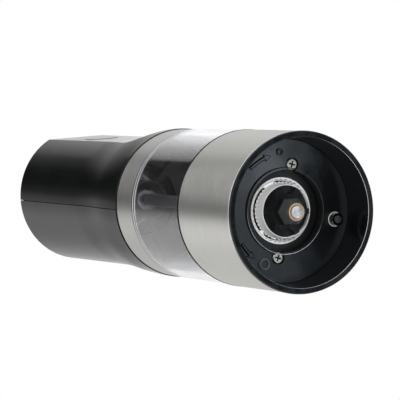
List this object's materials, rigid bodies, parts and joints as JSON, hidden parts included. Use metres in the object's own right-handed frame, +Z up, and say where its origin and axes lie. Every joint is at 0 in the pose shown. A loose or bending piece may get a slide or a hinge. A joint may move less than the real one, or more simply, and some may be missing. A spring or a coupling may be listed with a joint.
{
  "type": "pepper mill",
  "caption": "Upright battery pepper mill: flared handle with a flat button facet, clear pepper chamber, steel-sleeved base with adjustable ceramic burrs and a lamp.",
  "frame": {"origin": "centre of the flat rim face that the mill stands on", "axes": "+Z up the mill's axis from the mouth rim to the top of the handle; -Y is the side with the flat facet and the push button; +X is the lamp's side"},
  "size_m": [0.062, 0.062, 0.2106],
  "materials": {
    "black_abs": "moulded satin black ABS, slightly blue",
    "black_inner": "plain moulded black plastic",
    "handle_front": "glossy black shell",
    "handle_rear": "satin black shell",
    "button_black": "satin black button",
    "brushed_steel": "stainless steel brushed around the mill",
    "polished_steel": "mirror-polished stainless plate",
    "shaft_steel": "ground steel rod",
    "spring_steel": "drawn spring wire",
    "screw_steel": "zinc-plated screw",
    "gear_steel": "sintered steel",
    "motor_zinc": "zinc-plated motor can",
    "contact_nickel": "nickel-plated contact sheet",
    "lamp_collar": "glossy dark collar",
    "lamp_lens": "clear epoxy lamp",
    "board_green": "green solder mask",
    "brass": "turned brass",
    "ceramic": "fired white ceramic",
    "clear_acrylic": "clear polished acrylic",
    "nylon": "natural nylon",
    "seal_rubber": "black silicone",
    "cell_wrap": "plain dark cell sleeve"
  },
  "bodies": {
    "base": {"base_housing": "black_abs", "steel_sleeve": "brushed_steel", "grinder_plate": "black_abs", "lamp_collar": "lamp_collar", "lamp": "lamp_lens", "lamp_board": "board_green", "lamp_strips": "brass", "burr_holder": "black_inner", "stator_burr": "ceramic", "plate_screws": "screw_steel", "chamber": "clear_acrylic", "shaft_bushing": "clear_acrylic"},
    "drive": {"drive_shaft": "shaft_steel", "shaft_clip": "shaft_steel", "burr_spring": "spring_steel"},
    "rotor": {"rotor_burr": "ceramic"},
    "adjuster": {"adjuster_knob": "black_abs", "brass_insert": "brass"},
    "handle": {"steel_ring": "brushed_steel", "motor_frame": "black_inner", "shell_screws": "screw_steel", "cap_plate": "polished_steel", "lamp_contacts": "brass", "chamber_seal": "seal_rubber", "front_shell": "handle_front", "button_spring": "spring_steel", "circuit_board": "board_green", "power_switch": "black_inner", "gearbox_housing": "black_inner", "ring_gear": "gear_steel", "motor_plate": "gear_steel", "motor_can": "motor_zinc", "motor_screws": "screw_steel", "motor_cap": "nylon", "motor_tabs": "brass", "cell_carrier": "black_inner", "cells": "cell_wrap", "cell_springs": "spring_steel", "cell_contacts": "contact_nickel"},
    "rear_cover": {"rear_shell": "handle_rear"},
    "button": {"push_button": "button_black"},
    "motor_rotor": {"motor_shaft": "shaft_steel", "sun_gear": "brass"},
    "carrier": {"planet_carrier": "gear_steel", "drive_socket": "gear_steel"},
    "planet_1": {"planet_gear_1": "nylon"},
    "planet_2": {"planet_gear_2": "nylon"},
    "planet_3": {"planet_gear_3": "nylon"}
  },
  "joints": [
    {"name": "shaft_spin", "type": "hinge", "parent": "base", "child": "drive", "pos_m": [0, 0, 0.06], "axis": [0, 0, 1], "continuous": true},
    {"name": "rotor_lift", "type": "slide", "parent": "drive", "child": "rotor", "axis": [0, 0, 1], "range_m": [-0.0006, 0.0002], "deforming": ["burr_spring"]},
    {"name": "adjuster_turn", "type": "hinge", "parent": "rotor", "child": "adjuster", "pos_m": [0, 0, 0.01], "axis": [0, 0, 1], "range_deg": [-270, 90]},
    {"name": "handle_lift", "type": "slide", "parent": "base", "child": "handle", "axis": [0, 0, 1], "range_m": [0, 0.06]},
    {"name": "rear_cover_slide", "type": "slide", "parent": "handle", "child": "rear_cover", "axis": [0, 0, 1], "range_m": [0, 0.03]},
    {"name": "button_press", "type": "slide", "parent": "handle", "child": "button", "axis": [0, 1, 0], "range_m": [0, 0.001], "stiffness_N_per_m": 300, "springref_m": -0.0005, "deforming": ["button_spring"]},
    {"name": "motor_spin", "type": "hinge", "parent": "handle", "child": "motor_rotor", "pos_m": [0, 0, 0.1], "axis": [0, 0, 1], "continuous": true},
    {"name": "carrier_spin", "type": "hinge", "parent": "handle", "child": "carrier", "pos_m": [0, 0, 0.1], "axis": [0, 0, 1], "continuous": true},
    {"name": "planet_spin_1", "type": "hinge", "parent": "carrier", "child": "planet_1", "pos_m": [0, 0.0081, 0.1], "axis": [0, 0, 1], "continuous": true},
    {"name": "planet_spin_2", "type": "hinge", "parent": "carrier", "child": "planet_2", "pos_m": [-0.00701, -0.00405, 0.1], "axis": [0, 0, 1], "continuous": true},
    {"name": "planet_spin_3", "type": "hinge", "parent": "carrier", "child": "planet_3", "pos_m": [0.00701, -0.00405, 0.1], "axis": [0, 0, 1], "continuous": true}
  ],
  "couplings": [
    {"joint": "adjuster_turn", "follows": "rotor_lift", "rad_per_m": 7854},
    {"joint": "carrier_spin", "follows": "shaft_spin", "ratio": 1},
    {"joint": "motor_spin", "follows": "shaft_spin", "ratio": 4.5},
    {"joint": "planet_spin_1", "follows": "shaft_spin", "ratio": -2.8},
    {"joint": "planet_spin_2", "follows": "shaft_spin", "ratio": -2.8},
    {"joint": "planet_spin_3", "follows": "shaft_spin", "ratio": -2.8}
  ]
}
